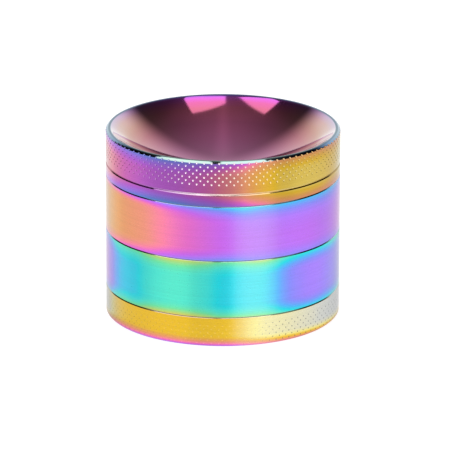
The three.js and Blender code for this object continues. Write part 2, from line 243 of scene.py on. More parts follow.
class Turned:
    """A turned skin, drawn ring by ring anticlockwise round its section, the axis on its left."""

    def __init__(self, segments=SEGMENTS):
        self.segments = segments
        self.angles = np.arange(segments) * TAU / segments
        self.points = []
        self.faces = []
        self.first = self.last = None

    def add_points(self, r, z):
        """One ring of vertices, or one point where the radius is 0. r may differ by segment."""
        start = len(self.points)
        if np.isscalar(r) and abs(r) < 1e-9:
            self.points.append((0.0, 0.0, float(z)))
            return [start]
        rr = np.broadcast_to(r, self.angles.shape)
        zz = np.broadcast_to(z, self.angles.shape)
        self.points += zip(rr * np.cos(self.angles), rr * np.sin(self.angles), zz)
        return list(range(start, start + self.segments))

    def bridge(self, lower, upper):
        """The faces between two rings, either of which may be one point."""
        if len(lower) == len(upper) == 1:
            return
        for i in range(self.segments):
            j = (i + 1) % self.segments
            if len(lower) == 1:
                self.faces.append((lower[0], upper[j], upper[i]))
            elif len(upper) == 1:
                self.faces.append((lower[i], lower[j], upper[0]))
            else:
                self.faces.append((lower[i], lower[j], upper[j], upper[i]))

    def ring(self, r, z):
        """Adds a ring, joined to the last one."""
        made = self.add_points(r, z)
        if self.last is not None:
            self.bridge(self.last, made)
        if self.first is None:
            self.first = made
        self.last = made

    def outline(self, corners):
        """Adds a ring at each corner of the section."""
        for r, z in softened(corners):
            self.ring(float(r), float(z))

    def thread(self, root, side, height_at_zero, start_turn, low_z, high_z):
        """Rows of facets over one helical ridge, from low_z to high_z or the other way down."""
        rows = max(2, round(abs(high_z - low_z) / THREAD_STEP))
        turn_part = self.angles / TAU
        for z in np.linspace(low_z, high_z, rows + 1):
            turn = np.round((z - height_at_zero) / PITCH - turn_part) + turn_part
            away = np.abs(z - height_at_zero - turn * PITCH)
            ridge = np.clip((RIDGE_ROOT_HALF - away) / (RIDGE_ROOT_HALF - RIDGE_CREST_HALF), 0, 1)
            ends = np.minimum(turn - start_turn, start_turn + RIDGE_TURNS - turn) / RIDGE_RUNOUT
            self.ring(root + side * RIDGE_HEIGHT * ridge * np.clip(ends, 0, 1), z)

    def knurl(self, profile, rows, size, depth):
        """Staggered dimples over a stretch that starts at the last ring. profile gives radius and height
        at a distance along the outline, rows are the rows' distances, and the last is the stretch's end."""
        *rows, end = rows

        def vertex(angle, along, inward=0.0):
            r, z = profile(along)
            r0, z0 = profile(along - NUDGE)
            r1, z1 = profile(along + NUDGE)
            slope = math.hypot(r1 - r0, z1 - z0)
            r -= inward * (z1 - z0) / slope
            z += inward * (r1 - r0) / slope
            self.points.append((r * math.cos(angle), r * math.sin(angle), z))
            return len(self.points) - 1

        def dimple(angle, along):
            """The points round a dimple's edge, anticlockwise from its right-hand one."""
            rings = []
            for share, sunk in DIMPLE_RINGS:
                reach = share * size * DIMPLE_RADIUS
                ring = []
                for a in np.arange(DIMPLE_SIDES) * TAU / DIMPLE_SIDES:
                    turned = angle + reach / BODY_RADIUS * math.cos(a)
                    ring.append(vertex(turned, along + reach * math.sin(a), sunk * depth))
                rings.append(ring)
            centre = vertex(angle, along, depth)
            edge, middle = rings
            for k in range(DIMPLE_SIDES):
                m = (k + 1) % DIMPLE_SIDES
                self.faces.append((edge[k], edge[m], middle[m], middle[k]))
                self.faces.append((middle[k], middle[m], centre))
            return edge

        def corner(place, *edge):
            """What a place adds to a face: its one point, or some of its dimple's edge."""
            return [place[k] for k in edge] if isinstance(place, list) else [place]

        # Single points and dimples take turns along each row.
        makers = vertex, dimple
        grid = [self.last]
        for row, along in enumerate(rows):
            grid.append([makers[(i + row) % 2](angle, along) for i, angle in enumerate(self.angles)])
        grid.append(self.add_points(*profile(end)))
        for below, above in zip(grid, grid[1:]):
            for i in range(self.segments):
                j = (i + 1) % self.segments
                foot = corner(below[i], 2, 1, 0) + corner(below[j], 4, 3, 2)
                self.faces.append(foot + corner(above[j], 6, 5, 4) + corner(above[i], 0, 7, 6))
        self.last = grid[-1]

    def piece(self, name):
        """The skin closed, its last ring joined to its first."""
        self.bridge(self.last, self.first)
        return piece_of(name, self.points, self.faces)


def piece_of(name, points, faces):
    """A mesh object from points in millimetres."""
    mesh = bpy.data.meshes.new(name)
    mesh.from_pydata([tuple(c * MM for c in p) for p in points], [], faces)
    mesh.validate()
    mesh.update()
    piece = bpy.data.objects.new(name, mesh)
    bpy.context.scene.collection.objects.link(piece)
    return piece


def baked(piece):
    """The piece with its modifiers applied."""
    bpy.context.view_layer.update()
    evaluated = piece.evaluated_get(bpy.context.evaluated_depsgraph_get())
    mesh = bpy.data.meshes.new_from_object(evaluated)
    piece.modifiers.clear()
    old = piece.data
    piece.data = mesh
    bpy.data.meshes.remove(old)
    return piece


def combine(piece, tool, operation):
    """Joins the tool to the piece, or cuts it out, and deletes the tool."""
    modifier = piece.modifiers.new(operation.lower(), "BOOLEAN")
    modifier.operation = operation
    modifier.solver = "EXACT"
    modifier.object = tool
    baked(piece)
    bpy.data.objects.remove(tool)
    return piece


def smooth(piece):
    piece.data.polygons.foreach_set("use_smooth", [True] * len(piece.data.polygons))
    piece.data.set_sharp_from_angle(angle=SHARP_ANGLE)


def tube_faces(start, count, rows, inward=False):
    """The skin and the two ends of a tube whose vertices lie in rows of count."""
    faces = []
    for row in range(rows - 1):
        for i in range(count):
            a = start + row * count + i
            b = start + row * count + (i + 1) % count
            faces.append((a, b, b + count, a + count))
    last = start + (rows - 1) * count
    faces.append(tuple(range(start + count - 1, start - 1, -1)))
    faces.append(tuple(range(last, last + count)))
    return [face[::-1] for face in faces] if inward else faces


def prisms(name, places, section, heights):
    """Equal prisms round the axis. places holds (ring radius, turn), section one outline of (radial,
    tangential) points, and heights each level's height and the section's scale there."""
    points, faces = [], []
    for ring_radius, turn in places:
        cos, sin = math.cos(turn), math.sin(turn)
        faces += tube_faces(len(points), len(section), len(heights))
        for z, scale in heights:
            for across, along in section:
                x, y = ring_radius + across * scale, along * scale
                points.append((x * cos - y * sin, x * sin + y * cos, z))
    return piece_of(name, points, faces)


def spaced(ring_radius, count, phase):
    """Places for prisms, evenly round a ring, the first of them phase pitches round."""
    return [(ring_radius, (i + phase) / count * TAU) for i in range(count)]


def joined(pieces):
    """One piece with the meshes of all of them, as loose islands."""
    points, faces = [], []
    for piece in pieces:
        start = len(points)
        points += [tuple(v.co) for v in piece.data.vertices]
        faces += [tuple(v + start for v in p.vertices) for p in piece.data.polygons]
    mesh = bpy.data.meshes.new(pieces[0].name)
    mesh.from_pydata(points, [], faces)
    mesh.update()
    pieces[0].data = mesh
    for other in pieces[1:]:
        bpy.data.objects.remove(other)
    return pieces[0]


def teeth(name, rings, root_of, tip):
    """Rhombic teeth with softened edges, from each ring's root height to the tip."""
    made = []
    for ring_radius, count, radial, phase in rings:
        root = root_of(ring_radius)
        section = [(radial, 0), (0, TOOTH_TANGENTIAL), (-radial, 0), (0, -TOOTH_TANGENTIAL)]
        heights = [(root, 1), (tip, TOOTH_DRAFT)]
        if tip < root:
            heights.reverse()
        ring = prisms(name, spaced(ring_radius, count, phase), section, heights)
        bevel = ring.modifiers.new("bevel", "BEVEL")
        bevel.width = TOOTH_BEVEL * MM
        bevel.segments = 2
        bevel.limit_method = "ANGLE"
        made.append(baked(ring))
    return joined(made)


# ---------------- node graphs


def linear(srgb):
    """A colour given as 0 to 255 sRGB, in Blender's linear RGBA. No channel is so dark that it falls in
    the curve's straight foot."""
    return tuple(((c / 255 + 0.055) / 1.055) ** 2.4 for c in srgb) + (1.0,)


class Nodes:
    """A node tree, with one short call for each node. place is a point of the object, or a direction
    of the sky."""

    def __init__(self, tree, coordinate):
        self.tree = tree
        self.place = self.add("ShaderNodeTexCoord").outputs[coordinate]
        self.x, self.y, self.z = self.add("ShaderNodeSeparateXYZ", self.place).outputs

    def add(self, kind, *inputs, **settings):
        node = self.tree.nodes.new(kind)
        for key, value in settings.items():
            setattr(node, key, value)
        for socket, value in zip(node.inputs, inputs):
            self.feed(socket, value)
        return node

    def feed(self, socket, value):
        if isinstance(value, bpy.types.NodeSocket):
            self.tree.links.new(value, socket)
        elif value is not None:
            socket.default_value = value

    def math(self, operation, *inputs):
        return self.add("ShaderNodeMath", *inputs, operation=operation).outputs[0]

    def scaled(self, value, factor, offset):
        return self.math("MULTIPLY_ADD", value, factor, offset)

    def times(self, first, *others):
        for other in others:
            first = self.math("MULTIPLY", first, other)
        return first

    def plus(self, first, *others):
        for other in others:
            first = self.math("ADD", first, other)
        return first

    def span(self, value, from_low, from_high, to_low=0.0, to_high=1.0, smooth_step=True):
        limits = from_low, from_high, to_low, to_high
        kind = "SMOOTHSTEP" if smooth_step else "LINEAR"
        return self.add("ShaderNodeMapRange", value, *limits, interpolation_type=kind).outputs[0]

    def noise(self, vector, scale, detail):
        node = self.add("ShaderNodeTexNoise", vector, None, scale, detail, noise_dimensions="3D")
        return node.outputs["Fac"]

    def vector(self, x, y, z):
        return self.add("ShaderNodeCombineXYZ", x, y, z).outputs[0]

    def mix(self, share, a, b, blend="MIX"):
        node = self.add("ShaderNodeMix", data_type="RGBA", blend_type=blend)
        self.feed(node.inputs["Factor"], share)
        self.feed(node.inputs["A"], a)
        self.feed(node.inputs["B"], b)
        return node.outputs["Result"]

    def ramp(self, value, stops):
        """A colour that runs through stops, each a position and a 0 to 255 sRGB colour."""
        node = self.add("ShaderNodeValToRGB", value)
        elements = node.color_ramp.elements
        while len(elements) > 1:
            elements.remove(elements[-1])
        elements[0].position, elements[0].color = stops[0][0], linear(stops[0][1])
        for position, srgb in stops[1:]:
            elements.new(position).color = linear(srgb)
        return node.outputs["Color"]

    def curve(self, value, points):
        node = self.add("ShaderNodeFloatCurve", None, value)
        curve = node.mapping.curves[0]
        for point, (x, y) in zip(curve.points, (points[0], points[-1])):
            point.location = (x, y)
        for x, y in points[1:-1]:
            curve.points.new(x, y)
        node.mapping.update()
        return node.outputs[0]

    def bump(self, height, distance):
        node = self.add("ShaderNodeBump")
        self.feed(node.inputs["Height"], height)
        self.feed(node.inputs["Distance"], distance)
        return node.outputs[0]

    def turn(self):
        """Where a point is round the axis: 0.5 at the front, 0.75 on the right, 0 and 1 at the back."""
        angle = self.math("ARCTAN2", self.x, self.times(self.y, -1.0))
        return self.scaled(angle, 1 / TAU, 0.5)

    def off_front(self):
        """How far round from the front a point is, to either side: 0.5 at the back."""
        return self.math("ABSOLUTE", self.math("SUBTRACT", self.turn(), 0.5))

    def round_tangent(self):
        """The direction of a turned surface's tool marks."""
        return self.add("ShaderNodeTangent", direction_type="RADIAL", axis="Z").outputs[0]

    def from_axis(self):
        square = self.plus(self.math("POWER", self.x, 2.0), self.math("POWER", self.y, 2.0))
        return self.math("SQRT", square)


class Finish(Nodes):
    """A material with one Principled shader, whose constant sockets are given by name."""

    def __init__(self, name, **constants):
        self.material = bpy.data.materials.new(name)
        self.material.use_nodes = True
        super().__init__(self.material.node_tree, "Object")
        self.shader = self.tree.nodes["Principled BSDF"]
        for socket, value in constants.items():
            self.shader.inputs[socket.replace("_", " ")].default_value = value

    def output(self, **links):
        for socket, value in links.items():
            self.feed(self.shader.inputs[socket.replace("_", " ")], value)
        return self.material


# ---------------- the interference coating

# Colours of the film as it thickens, from bare metal through its first two orders.
FILM = (
    (0.00, (214, 217, 214)), (0.06, (231, 226, 190)), (0.12, (249, 236, 140)), (0.19, (240, 194, 34)),
    (0.25, (234, 164, 84)), (0.31, (240, 150, 122)), (0.37, (253, 132, 166)), (0.42, (236, 110, 206)),
    (0.48, (206, 104, 240)), (0.54, (176, 124, 255)), (0.60, (134, 142, 252)), (0.66, (84, 180, 253)),
    (0.72, (16, 220, 230)), (0.78, (76, 229, 208)), (0.84, (110, 228, 164)), (0.90, (178, 214, 112)),
    (0.95, (224, 192, 92)), (1.00, (236, 158, 92)),
)
TURNED_METAL = {"Metallic": 1.0, "Anisotropic": 0.5, "Anisotropic_Rotation": 0.25}
TURNED_LINE = 0.22 * MM  # breadth of a tool mark
DRIFT = 0.02  # how far the film wanders over a part
BRIGHTEST = 1.15  # the highest level below, which stands for the full colour
TOOL_MARK_DEPTH = 0.0035 * MM
FINE_MARK_DEPTH = 0.002 * MM
TOOL_MARK_SHADE = 0.035
SHALLOW_CUT, DEEP_CUT = 0.02, 0.08  # depths under the wall over which a cut's tint comes in, in mm
CUT_FADE = 0.05  # height over which it fades at a zone's ends
# Broken edges and cuts are mixed towards a light bare-metal colour: partly real wear of the film, partly a
# painted highlight along the seams.
WORN_AND_SHEEN_SHARE = 0.6
WORN_AND_SHEEN = (224, 230, 236)  # bare edges
# Painted grazing reflection at the dish's front edge.
PAINTED_LIP_SHEEN = (242, 228, 226)
DEEP_GREEN = (44, 96, 98)


def wandering(finish, scale=45.0, amount=DRIFT):
    cloud = finish.noise(finish.place, scale, 3.0)
    return finish.times(finish.math("SUBTRACT", cloud, 0.5), amount * 2)


def rise(finish, start, full, amount, power=2.0, shares=None):
    """How much thicker the film is at a height, from nothing at start to amount at full, in mm. shares,
    by degrees from the front, says how much of that it has round the part."""
    share = finish.span(finish.z, start * MM, full * MM, 0.0, 1.0, smooth_step=False)
    thicker = finish.times(finish.math("POWER", share, power), amount)
    if shares:
        thicker = finish.times(thicker, finish.curve(finish.turn(), around(shares)))
    return thicker


def around(points):
    """Control points given by degrees round from the front, as a closed curve over the turn."""
    turns = [(0.5 + degrees / 360, value) for degrees, value in points]
    behind = (turns[0][1] + turns[-1][1]) / 2
    return [(0.0, behind), *turns, (1.0, behind)]


def turned_bump(finish, across, depth):
    """Fine tool marks that run round the axis. across is the distance along the turned surface."""
    turn = finish.turn()
    coarse = finish.noise(finish.vector(finish.math("DIVIDE", across, TURNED_LINE), turn, 0.0), 1.0, 1.0)
    fine_across = finish.math("DIVIDE", across, TURNED_LINE / 3)
    fine = finish.noise(finish.vector(fine_across, finish.times(turn, 3.0), 7.0), 1.0, 2.0)
    both = finish.scaled(fine, 0.4, coarse)
    return finish.bump(both, depth), coarse


# Painted sheen: how much white is mixed into the coating by degrees from the front, a painted grazing
# reflection at its far sides and a painted highlight streak that the lid lacks.
PAINTED_GRAZING_SHEEN = (
    (-120, 0.0), (-84, 0.1), (-72, 0.08), (-56, 0.0), (56, 0.0), (72, 0.05), (84, 0.05), (120, 0.0),
)
PAINTED_SHEEN_WITH_STREAK = (
    *PAINTED_GRAZING_SHEEN[:4], (1, 0.0), (8, 0.08), (16, 0.12), (24, 0.08), (33, 0.0), *PAINTED_GRAZING_SHEEN[4:],
)


def sunk(finish, z_low, z_high):
    """1 where a surface lies under the wall's own radius, between two heights."""
    surface = (BODY_RADIUS - SHALLOW_CUT) * MM
    deep = finish.span(finish.from_axis(), surface, (BODY_RADIUS - DEEP_CUT) * MM)
    above = finish.span(finish.z, z_low * MM, (z_low + CUT_FADE) * MM)
    below = finish.span(finish.z, z_high * MM, (z_high - CUT_FADE) * MM)
    return finish.times(above, below, deep)


def side_coating(name, round_film, thicker, level, painted_sheen=PAINTED_SHEEN_WITH_STREAK, cuts=None, roughness=0.24):
    """The coating on a part's side. round_film is the film's phase, level the painted light and shade on it
    and painted_sheen its painted sheen and highlight, all by degrees from the front. thicker is a list of
    rises, and cuts holds the painted highlight and shade in dimples and grooves by degrees, their lowest and
    highest height, and its shares by degrees."""
    gloss = {"Specular_Tint": (0.72, 0.72, 0.74, 1.0), "Coat_Weight": 0.55}
    finish = Finish(name, **TURNED_METAL, **gloss, Coat_Roughness=0.1, Coat_IOR=1.4)
    turn = finish.turn()
    normal, lines = turned_bump(finish, finish.z, TOOL_MARK_DEPTH)
    phase = finish.curve(turn, around(round_film))
    phase = finish.plus(phase, wandering(finish), *(rise(finish, *each) for each in thicker))
    colour = finish.ramp(phase, FILM)
    # Painted sheen: white mixed in round the part, standing in for grazing reflection and a highlight streak.
    colour = finish.mix(finish.curve(turn, around(painted_sheen)), colour, (1, 1, 1, 1))
    # Painted light and shade: the level table brightens and darkens the colour round the part.
    shade = finish.curve(turn, [(at, value / BRIGHTEST) for at, value in around(level)])
    marks = finish.span(lines, 0.25, 0.75, 1 - TOOL_MARK_SHADE, 1 + TOOL_MARK_SHADE)
    shade = finish.times(shade, marks)
    colour = finish.mix(1.0, colour, finish.vector(shade, shade, shade), "MULTIPLY")
    # Painted highlight and wear: every cut under the wall is mixed towards bare metal, for the seams' bright
    # lines as well as worn edges.
    every_cut = sunk(finish, FOOT_CHAMFER, RIM_TOP)
    worn_and_sheen = finish.times(every_cut, WORN_AND_SHEEN_SHARE)
    # Painted highlight and shade in the dimples and groove: light tints where they would catch the lamps,
    # dark ones where they lie in shade.
    if cuts:
        painted_dimple_shading, z_low, z_high, shares = cuts
        inside = sunk(finish, z_low, z_high)
        worn_and_sheen = finish.times(worn_and_sheen, finish.math("SUBTRACT", 1.0, inside))
        tint = finish.ramp(turn, [(0.5 + degrees / 360, srgb) for degrees, srgb in painted_dimple_shading])
        share = finish.times(inside, finish.curve(turn, around(shares)))
        colour = finish.mix(share, colour, tint)
    colour = finish.mix(worn_and_sheen, colour, linear(WORN_AND_SHEEN))
    speckle = finish.noise(finish.place, 2600.0, 2.0)
    rough = finish.scaled(lines, 0.08, roughness - 0.04)
    rough = finish.scaled(finish.span(speckle, 0.62, 0.72), 0.12, rough)
    rough = finish.times(rough, finish.scaled(every_cut, -0.65, 1.0))
    tangent = finish.round_tangent()
    return finish.output(Base_Color=colour, Roughness=rough, Normal=normal, Tangent=tangent)


# The parts' sides. In each table a row is degrees from the front, towards the right, and a value there.


def lid_side():
    round_film = (
        (-110, 0.30), (-75, 0.35), (-64, 0.385), (-56, 0.42), (-48, 0.445), (-36, 0.465), (-24, 0.46),
        (-16, 0.435), (-8, 0.405), (0, 0.355), (8, 0.305), (16, 0.235), (24, 0.195), (32, 0.17),
        (56, 0.17), (66, 0.18), (74, 0.17), (82, 0.14), (110, 0.16),
    )
    # Painted light and shade: how bright the coating is painted round the lid.
    level = (
        (-100, 0.8), (-75, 0.94), (-64, 0.76), (-48, 0.7), (-32, 0.54), (-16, 0.47), (-6, 0.45), (0, 0.5),
        (8, 0.71), (16, 0.88), (24, 0.83), (32, 0.7), (40, 0.76), (56, 0.76), (75, 0.74), (100, 0.7),
    )
    near_rim = ((-60, 0.62), (-24, 0.6), (-6, 0.64), (4, 0.68), (14, 0.62), (24, 0.4), (60, 0.4))
    near_seam = ((-60, 1.0), (16, 1.0), (28, 0.75), (60, 0.75))
    thicker = ((46.6, 50.75, 0.25, 2.0, near_rim), (42.2, 39.0, 0.18, 1.3, near_seam))
    # Painted highlight and shade in the dimples and groove: near white where they would catch the front lamp,
    # dark towards the sides.
    painted_dimple_shading = (
        (-70, (110, 60, 100)), (-40, (250, 220, 240)), (-14, (255, 246, 250)), (14, (255, 240, 216)),
        (45, (255, 240, 160)), (70, (140, 104, 60)),
    )
    shares = (
        (-80, 0.4), (-46, 0.1), (-26, 0.35), (-17, 0.6), (2, 0.7), (10, 0.5), (24, 0.4), (46, 0.3),
        (80, 0.4),
    )
    cuts = (painted_dimple_shading, LID_CUTS_LOW, RIM_TOP, shares)
    return side_coating("lid_side_coating", round_film, thicker, level, PAINTED_GRAZING_SHEEN, cuts, 0.2)


def tooth_chamber_side():
    round_film = (
        (-130, 0.34), (-100, 0.24), (-75, 0.235), (-64, 0.255), (-56, 0.28), (-48, 0.30), (-40, 0.32),
        (-32, 0.36), (-24, 0.395), (-16, 0.425), (-8, 0.455), (0, 0.48), (16, 0.505), (30, 0.51),
        (48, 0.51), (64, 0.515), (85, 0.46), (130, 0.40),
    )
    # Painted light and shade: how bright the coating is painted round the chamber.
    level = (
        (-100, 0.85), (-72, 1.04), (-64, 1.06), (-56, 0.98), (-32, 1.0), (-12, 0.89), (-2, 0.92),
        (6, 0.99), (16, 1.02), (28, 0.98), (36, 1.0), (56, 0.94), (75, 0.86), (100, 0.8),
    )
    front_right = ((-60, 0.0), (-40, 0.1), (-10, 0.75), (4, 0.9), (20, 0.65), (60, 0.55))
    thicker = (
        (34.0, LID_SEAM, 0.22, 2.0, front_right),
        (36.4, LID_SEAM, 0.22, 2.0, ((-60, 1.0), (-40, 0.9), (-10, 0.2), (4, 0.0), (60, 0.0))),
        (30.0, LID_SEAM, 0.06, 1.5, ((-30, 0.0), (-5, 0.0), (15, 1.0), (60, 1.0))),
        (27.8, 23.9, 0.16, 2.0, ((-60, 1.0), (0, 1.0), (20, 0.5), (60, 0.5))),
    )
    return side_coating("tooth_chamber_coating", round_film, thicker, level)


def screen_chamber_side():
    round_film = (
        (-130, 0.60), (-90, 0.48), (-72, 0.56), (-64, 0.655), (-56, 0.70), (-48, 0.705), (-40, 0.755),
        (-32, 0.78), (-20, 0.79), (-8, 0.76), (0, 0.715), (10, 0.715), (18, 0.715), (24, 0.69),
        (32, 0.615), (40, 0.57), (50, 0.552), (64, 0.57), (85, 0.60), (130, 0.68),
    )
    # Painted light and shade: how bright the coating is painted round the chamber.
    level = (
        (-100, 0.66), (-82, 0.78), (-72, 0.88), (-64, 0.96), (-56, 0.94), (-46, 0.86), (-32, 0.99),
        (-22, 1.04), (-12, 0.87), (-2, 0.86), (6, 1.06), (16, 1.13), (28, 1.02), (36, 0.99), (56, 1.02),
        (64, 0.99), (74, 0.88), (84, 0.72), (100, 0.66),
    )
    thicker = ((19.0, 23.8, 0.20, 2.0, ((-60, 0.7), (0, 0.7), (25, 1.0), (60, 1.0))), (12.2, 8.1, 0.17))
    return side_coating("screen_chamber_coating", round_film, thicker, level)


def base_side():
    round_film = (
        (-130, 0.10), (-90, 0.03), (-72, 0.105), (-64, 0.17), (-56, 0.188), (-40, 0.195), (-8, 0.193),
        (2, 0.188), (8, 0.168), (16, 0.118), (24, 0.085), (36, 0.065), (48, 0.035), (58, 0.005), (90, 0.0),
        (130, 0.08),
    )
    # Painted light and shade: how bright the coating is painted round the base.
    level = (
        (-100, 0.56), (-84, 0.6), (-72, 0.66), (-56, 0.88), (-42, 0.92), (-32, 0.96), (-20, 0.96),
        (-12, 0.87), (-2, 0.9), (8, 1.01), (18, 1.04), (28, 1.03), (36, 1.0), (56, 0.96), (70, 0.86),
        (84, 0.7), (100, 0.66),
    )
    thicker = ((3.2, 0.3, 0.30), (7.4, 8.1, 0.03))
    # Painted shade: the dimples are darkened towards the right, where they turn from the lamps.
    shares = ((-60, 0.1), (-10, 0.0), (12, 0.1), (24, 0.5), (38, 0.8), (70, 0.7))
    dark = (0, (58, 64, 86))
    cuts = ((dark,), BASE_CUTS_LOW, BASE_CUTS_HIGH, shares)
    return side_coating("base_coating", round_film, thicker, level, PAINTED_SHEEN_WITH_STREAK, cuts, 0.26)


def dish_coating():
    """The dish: dusky behind, warm at both sides, with a painted grazing reflection lightening its front
    edge, and glossiest near the rim.
    """
    finish = Finish("lid_dish_coating", **TURNED_METAL, Coat_Roughness=0.05, Coat_IOR=1.5)
    out = finish.from_axis()
    share = finish.math("DIVIDE", out, DISH_RADIUS * MM)
    share = finish.plus(share, wandering(finish, 60.0, 0.02))
    middle = ((0.0, (190, 102, 158)), (0.4, (180, 94, 144)))
    dusky = (
        (0.72, (176, 86, 126)), (0.88, (200, 98, 130)), (0.94, (206, 94, 156)), (0.98, (206, 94, 204)),
        (1.0, (110, 90, 180)),
    )
    warm = (
        (0.72, (190, 116, 124)), (0.86, (200, 152, 132)), (0.93, (206, 166, 156)), (1.0, (196, 180, 214)),
    )
    away = finish.off_front()
    behind = finish.ramp(share, middle + dusky)
    beside = finish.ramp(share, middle + warm)
    colour = finish.mix(finish.span(away, 0.27, 0.42), beside, behind)
    # Painted reflection: the front edge of the dish is mixed towards a light tint.
    lip_sheen = finish.times(finish.span(share, 0.82, 0.9, 0.0, 0.9), finish.span(away, 0.262, 0.225))
    colour = finish.mix(lip_sheen, colour, linear(PAINTED_LIP_SHEEN))
    near_rim = finish.span(share, 0.8, 0.92, 0.0, 0.75)
    coat = finish.scaled(near_rim, finish.span(away, 0.38, 0.32), 0.25)
    normal, lines = turned_bump(finish, out, FINE_MARK_DEPTH)
    rough = finish.scaled(lines, 0.03, 0.05)
    tangent = finish.round_tangent()
    return finish.output(Base_Color=colour, Roughness=rough, Normal=normal, Tangent=tangent, Coat_Weight=coat)


def rim_coating():
    """The rim's chamfer, and its flat top, which is a deep green over the front."""
    finish = Finish("lid_rim_coating", Metallic=1.0, Coat_Weight=0.25, Coat_Roughness=0.04, Coat_IOR=1.6)
    turn = finish.plus(finish.turn(), wandering(finish, 60.0, 0.03))
    chamfer = (
        (0.0, (110, 120, 176)), (0.27, (150, 180, 196)), (0.36, (90, 130, 170)), (0.42, (182, 210, 198)),
        (0.56, (180, 208, 206)), (0.63, (80, 120, 180)), (0.72, (150, 180, 196)), (1.0, (110, 120, 176)),
    )
    flat_edge = BODY_RADIUS - RIM_CHAMFER
    flat = finish.span(finish.from_axis(), (flat_edge + 0.05) * MM, (flat_edge - 0.1) * MM)
    front_flat = finish.times(flat, finish.span(finish.off_front(), 0.2, 0.12))
    colour = finish.mix(front_flat, finish.ramp(turn, chamfer), linear(DEEP_GREEN))
    normal, lines = turned_bump(finish, finish.z, FINE_MARK_DEPTH / 2)
    rough = finish.scaled(lines, 0.03, 0.04)
    return finish.output(Base_Color=colour, Roughness=rough, Normal=normal)


def grained(finish, cloud, shades, grain, roughness, depth):
    """A plain finish that drifts between two shades, with its gloss and relief from one fine grain."""
    colour = finish.ramp(cloud, shades)
    rough = finish.scaled(grain, *roughness)
    return finish.output(Base_Color=colour, Roughness=rough, Normal=finish.bump(grain, depth))


def nickel():
    finish = Finish("magnet_nickel", Metallic=1.0)
    cloud = finish.noise(finish.place, 700.0, 4.0)
    brushed = finish.vector(finish.times(finish.x, 40.0), finish.y, finish.z)
    scratch = finish.noise(brushed, 2500.0, 2.0)
    shades = ((0.3, (196, 192, 182)), (0.7, (226, 224, 218)))
    return grained(finish, cloud, shades, scratch, (0.14, 0.12), 0.002 * MM)


def stainless():
    finish = Finish("stainless_steel", Metallic=1.0)
    cloud = finish.noise(finish.place, 900.0, 3.0)
    drawn = finish.noise(finish.place, 9000.0, 1.0)
    shades = ((0.3, (176, 178, 180)), (0.7, (208, 210, 212)))
    return grained(finish, cloud, shades, drawn, (0.18, 0.2), 0.001 * MM)


def nylon():
    finish = Finish("nylon", Subsurface_Weight=0.15, Subsurface_Scale=0.8 * MM)
    grain = finish.noise(finish.place, 1800.0, 4.0)
    shades = ((0.3, (228, 224, 212)), (0.75, (240, 238, 230)))
    return grained(finish, grain, shades, grain, (0.2, 0.42), 0.01 * MM)


# ---------------- the grinder's pieces


def socket_ridge_height(seam):
    """The centreline of a socket's ridge where it passes turn 0."""
    return seam - CAD_SEAM_GAP / 2 - SOCKET_DEPTH + SOCKET_RIDGE_RISE


def socket(turned, seam, opening):
    """Down from the mouth of a socket to its floor: lead-in, thread and floor."""
    mouth = seam - SEAM_GAP / 2
    floor = seam - CAD_SEAM_GAP / 2 - SOCKET_DEPTH
    turned.outline([(SOCKET_RADIUS + SOCKET_LEAD_IN, mouth)])
    turned.thread(SOCKET_RADIUS, -1, socket_ridge_height(seam), 0.0, mouth - SOCKET_LEAD_IN, floor)
    turned.outline([(opening + FINE_EDGE, floor), (opening, floor - FINE_EDGE)])


def spigot(turned, seam, opening):
    """Up from the inner edge of a spigot's end to its shoulder."""
    shoulder = seam + SEAM_GAP / 2
    end = seam + CAD_SEAM_GAP / 2 - SPIGOT_LENGTH
    turned.outline([(opening, end + SPIGOT_EDGE), (opening + SPIGOT_EDGE, end)])
    turned.outline([(SPIGOT_RADIUS - SPIGOT_LEAD_IN, end)])
    height_at_zero = socket_ridge_height(seam) + PITCH / 2
    turned.thread(SPIGOT_RADIUS, 1, height_at_zero, -SPIGOT_LEAD_TURNS, end + SPIGOT_LEAD_IN, shoulder)


def lower_edge(bottom):
    """The broken edge at a wall's foot."""
    return [(BODY_RADIUS - EDGE, bottom), (BODY_RADIUS, bottom + EDGE)]


def upper_edge(upper):
    """The broken edge at a wall's top."""
    return [(BODY_RADIUS, upper - EDGE), (BODY_RADIUS - EDGE, upper)]


def base_cup():
    turned = Turned()
    turned.outline([
        (0, FOOT_RECESS_DEPTH),
        (FOOT_RECESS_RADIUS, FOOT_RECESS_DEPTH),
        (FOOT_RECESS_RADIUS + FOOT_RECESS_DEPTH, 0),
        (BODY_RADIUS - FOOT_CHAMFER - 0.1, 0),
        (BODY_RADIUS - FOOT_CHAMFER * 0.8, FOOT_EASE),
        (BODY_RADIUS - FOOT_EASE, FOOT_CHAMFER * 0.75),
        (BODY_RADIUS, FOOT_CHAMFER),
    ])
    rows = [BASE_KNURL_START + KNURL_ROW * row for row in range(BASE_KNURL_ROWS)]
    stretch = rows + [rows[-1] + BASE_KNURL_END]
    turned.knurl(lambda s: (BODY_RADIUS, FOOT_CHAMFER + s), stretch, BASE_DIMPLE_SIZE, BASE_DIMPLE_DEPTH)
    turned.outline(upper_edge(BASE_SEAM - SEAM_GAP / 2))
    socket(turned, BASE_SEAM, CUP_RADIUS)
    for angle in np.linspace(0, -math.pi / 2, FILLET_STEPS + 1):
        r = CUP_RADIUS - CUP_FILLET * (1 - math.cos(angle))
        turned.ring(r, CUP_FLOOR + CUP_FILLET * (1 + math.sin(angle)))
    turned.outline([(0, CUP_FLOOR)])
    return turned.piece("base_cup_body")


